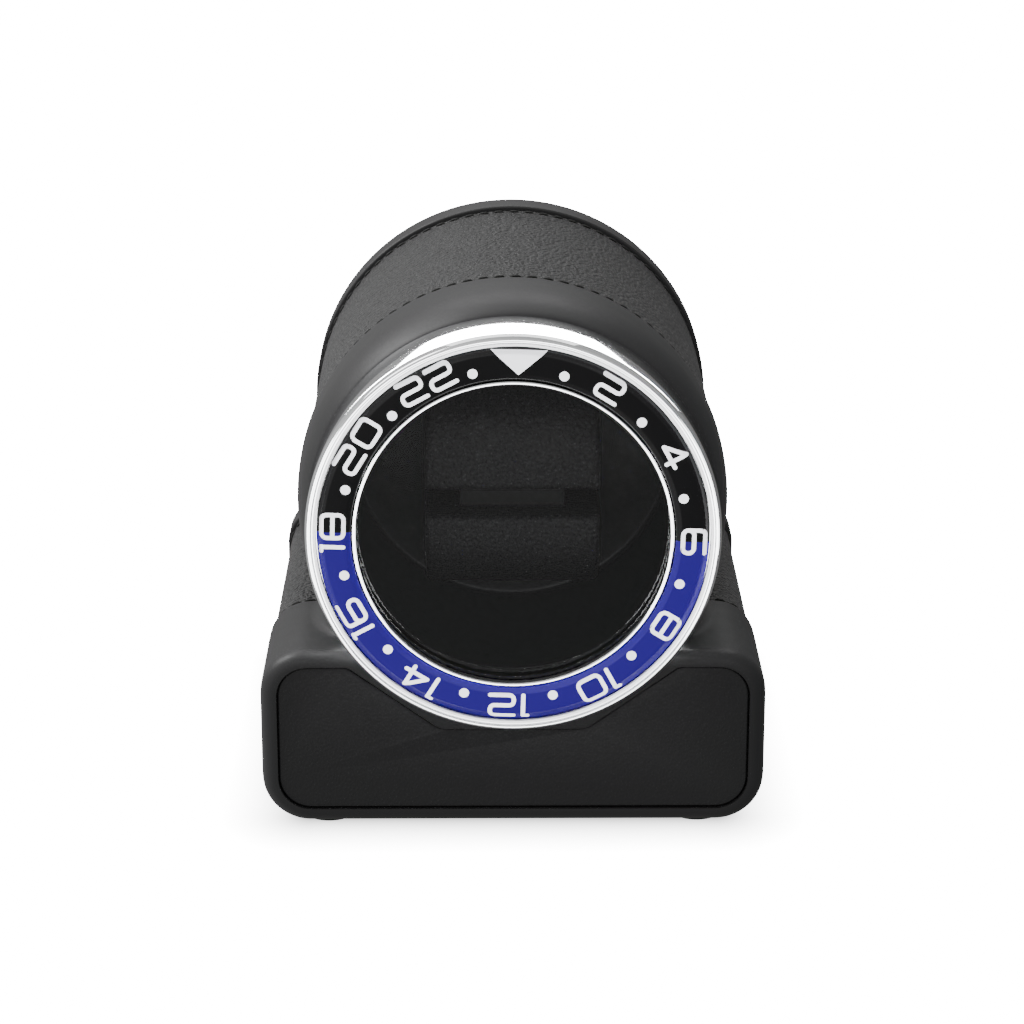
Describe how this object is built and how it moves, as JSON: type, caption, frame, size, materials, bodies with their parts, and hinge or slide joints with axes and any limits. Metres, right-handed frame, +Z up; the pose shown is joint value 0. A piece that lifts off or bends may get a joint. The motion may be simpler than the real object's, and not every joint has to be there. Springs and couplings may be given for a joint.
{
  "type": "watch winder",
  "caption": "Single watch winder: leather-wrapped drum on a moulded base, twist-off window cap with a 24-hour bezel, and a motor-driven cup holding a watch cushion.",
  "frame": {"origin": "on the resting surface, below the middle of the case", "axes": "-Y out of the front window, +Z up, +X to the right seen from the front"},
  "size_m": [0.114, 0.12, 0.1202],
  "materials": {
    "soft_touch": "soft-touch matte black",
    "panel": "fine-grained matte black",
    "leather": "black pebbled leather, stitched along both edges",
    "pad_leather": "soft black leather",
    "plastic": "matte black",
    "gloss": "gloss black",
    "chrome": "polished",
    "insert": "gloss enamel, black above and blue below, white hour numbers",
    "glass": "clear",
    "rubber": "matte",
    "steel": "satin",
    "brass": "satin",
    "nylon": "white nylon",
    "cell": "plain sleeve",
    "board": "green lacquer",
    "led": "clear green"
  },
  "bodies": {
    "housing": {"front_frame": "soft_touch", "front_panel": "panel", "leather_wrap": "leather", "inner_shell": "plastic", "rear_frame": "soft_touch", "base_plate": "plastic", "foot_1": "rubber", "foot_2": "rubber", "foot_3": "rubber", "foot_4": "rubber", "rear_cover": "plastic", "rear_screw_1": "steel", "rear_screw_2": "steel", "rear_screw_3": "steel", "rear_screw_4": "steel", "bayonet_socket": "plastic", "drum_liner": "plastic", "bulkhead": "plastic", "bearing_outer_race": "steel", "bearing_cage": "brass", "motor_gearbox": "steel", "motor_body": "steel", "motor_screw_1": "steel", "motor_screw_2": "steel", "battery_tray": "plastic", "battery_left": "cell", "battery_right": "cell", "contact_spring_left": "steel", "contact_spring_right": "steel", "contact_plate_left": "steel", "contact_plate_right": "steel", "circuit_board": "board", "controller_chip": "plastic", "selector_switch": "plastic", "dc_jack": "plastic", "status_led": "led"},
    "cap_seal": {"window_gasket": "rubber"},
    "window_cap": {"bezel_ring": "chrome", "bezel_insert": "insert", "trim_ring": "chrome", "window_glass": "glass", "cap_carrier": "gloss"},
    "rotor": {"rotor_cup": "gloss", "rotor_gear": "nylon", "rotor_shaft": "steel", "bearing_inner_race": "steel", "shaft_clip": "steel"},
    "pinion": {"motor_pinion": "brass"},
    "cushion": {"cushion_core": "plastic", "cushion_upper_pad": "pad_leather", "pad_spring_1": "steel", "pad_spring_2": "steel"},
    "lower_pad": {"cushion_lower_pad": "pad_leather"},
    "selector": {"selector_knob": "gloss"},
    "power_slider": {"power_switch": "gloss"},
    "door": {"battery_door": "plastic"}
  },
  "joints": [
    {"name": "cap_pull", "type": "slide", "parent": "housing", "child": "cap_seal", "axis": [0, -1, 0], "range_m": [0, 0.06]},
    {"name": "cap_turn", "type": "hinge", "parent": "cap_seal", "child": "window_cap", "pos_m": [0, 0, 0.0712], "axis": [0, 1, 0], "range_deg": [0, 30]},
    {"name": "rotor_spin", "type": "hinge", "parent": "housing", "child": "rotor", "pos_m": [0, 0, 0.0712], "axis": [0, 1, 0], "continuous": true},
    {"name": "pinion_spin", "type": "hinge", "parent": "housing", "child": "pinion", "pos_m": [0, 0, 0.1012], "axis": [0, 1, 0], "continuous": true},
    {"name": "cushion_pull", "type": "slide", "parent": "rotor", "child": "cushion", "axis": [0, -1, 0], "range_m": [0, 0.018]},
    {"name": "pad_squeeze", "type": "slide", "parent": "cushion", "child": "lower_pad", "axis": [0, 0, 1], "range_m": [0, 0.005], "stiffness_N_per_m": 300, "deforming": ["pad_spring_1", "pad_spring_2"]},
    {"name": "selector_turn", "type": "hinge", "parent": "housing", "child": "selector", "pos_m": [0.018, 0.056, 0.018], "axis": [0, 1, 0], "range_deg": [0, 150]},
    {"name": "power_slide", "type": "slide", "parent": "housing", "child": "power_slider", "axis": [1, 0, 0], "range_m": [0, 0.004]},
    {"name": "door_drop", "type": "slide", "parent": "housing", "child": "door", "axis": [0, 0, -1], "range_m": [0, 0.03]}
  ],
  "couplings": [
    {"joint": "pinion_spin", "follows": "rotor_spin", "ratio": -4}
  ]
}
